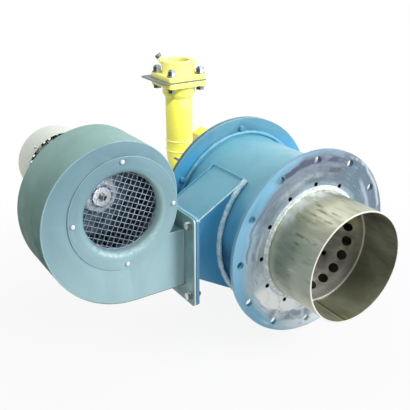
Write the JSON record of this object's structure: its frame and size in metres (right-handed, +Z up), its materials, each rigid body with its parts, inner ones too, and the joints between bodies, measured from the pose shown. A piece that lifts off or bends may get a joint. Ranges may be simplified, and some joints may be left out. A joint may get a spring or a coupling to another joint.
{
  "type": "industrial gas burner",
  "caption": "Round flanged gas burner with a perforated flame cone in a steel tube, a side-mounted centrifugal fan with its motor, and a flanged gas riser.",
  "frame": {"origin": "centre of the mounting flange's front face, on the burner's axis", "axes": "-Y is the way the burner fires, +Z is up, and the fan stands on the -X side"},
  "size_m": [0.694, 0.688, 0.4854],
  "materials": {
    "blue_paint": "blue gloss paint",
    "fan_paint": "grey-blue satin paint",
    "yellow_paint": "yellow gloss paint",
    "motor_paint": "light grey satin paint",
    "flange_steel": "bare steel with heat marks",
    "heat_steel": "heat-stained steel",
    "zinc_steel": "bright zinc",
    "shaft_steel": "ground",
    "dark_rubber": "matt",
    "box_alloy": "cast",
    "copper_winding": "varnished wire",
    "core_steel": "laminated",
    "ceramic": "glazed ceramic",
    "brass": "turned",
    "dark_plastic": "moulded"
  },
  "bodies": {
    "burner": {"front_flange": "flange_steel", "flame_tube": "heat_steel", "flame_cone": "heat_steel", "drum": "blue_paint", "rear_flange": "blue_paint", "cover_gasket": "dark_rubber", "rear_cover": "blue_paint", "cover_bolts": "blue_paint", "air_duct": "blue_paint", "duct_plate": "blue_paint", "outlet_gasket": "dark_rubber", "fan_flange": "fan_paint", "outlet_bolts": "zinc_steel", "fan_front_plate": "fan_paint", "fan_scroll": "fan_paint", "fan_rear_plate": "fan_paint", "inlet_ring": "fan_paint", "inlet_screws": "zinc_steel", "wire_guard": "zinc_steel", "front_shield": "motor_paint", "motor_screws": "zinc_steel", "motor_frame": "motor_paint", "stator_core": "core_steel", "stator_windings": "copper_winding", "front_bearing": "shaft_steel", "rear_bearing": "shaft_steel", "rear_shield": "motor_paint", "fan_cowl": "motor_paint", "cowl_screws": "zinc_steel", "terminal_box": "box_alloy", "terminal_lid": "box_alloy", "lid_screws": "zinc_steel", "terminal_block": "dark_plastic", "cable_gland": "dark_plastic", "gas_head": "heat_steel", "gas_lance": "yellow_paint", "lance_flange": "blue_paint", "lance_bolts": "zinc_steel", "gas_elbow": "yellow_paint", "riser_spool": "yellow_paint", "gas_riser": "yellow_paint", "lower_gas_flange": "yellow_paint", "gas_gaskets": "dark_rubber", "slip_plate": "flange_steel", "upper_gas_flange": "yellow_paint", "hub_plug": "zinc_steel", "gas_bolts": "zinc_steel", "stub_pipe": "yellow_paint", "stub_cap": "yellow_paint", "insulators": "ceramic", "ignition_electrode": "shaft_steel", "flame_probe": "shaft_steel", "electrode_collars": "brass"},
    "rotor": {"motor_shaft": "shaft_steel", "rotor_core": "core_steel", "impeller": "zinc_steel", "impeller_hub": "shaft_steel", "hub_washer": "zinc_steel", "hub_screw": "zinc_steel", "cooling_fan": "dark_plastic"}
  },
  "joints": [
    {"name": "rotor_spin", "type": "hinge", "parent": "burner", "child": "rotor", "pos_m": [-0.353, 0.2715, 0.114], "axis": [0, -1, 0], "continuous": true}
  ]
}
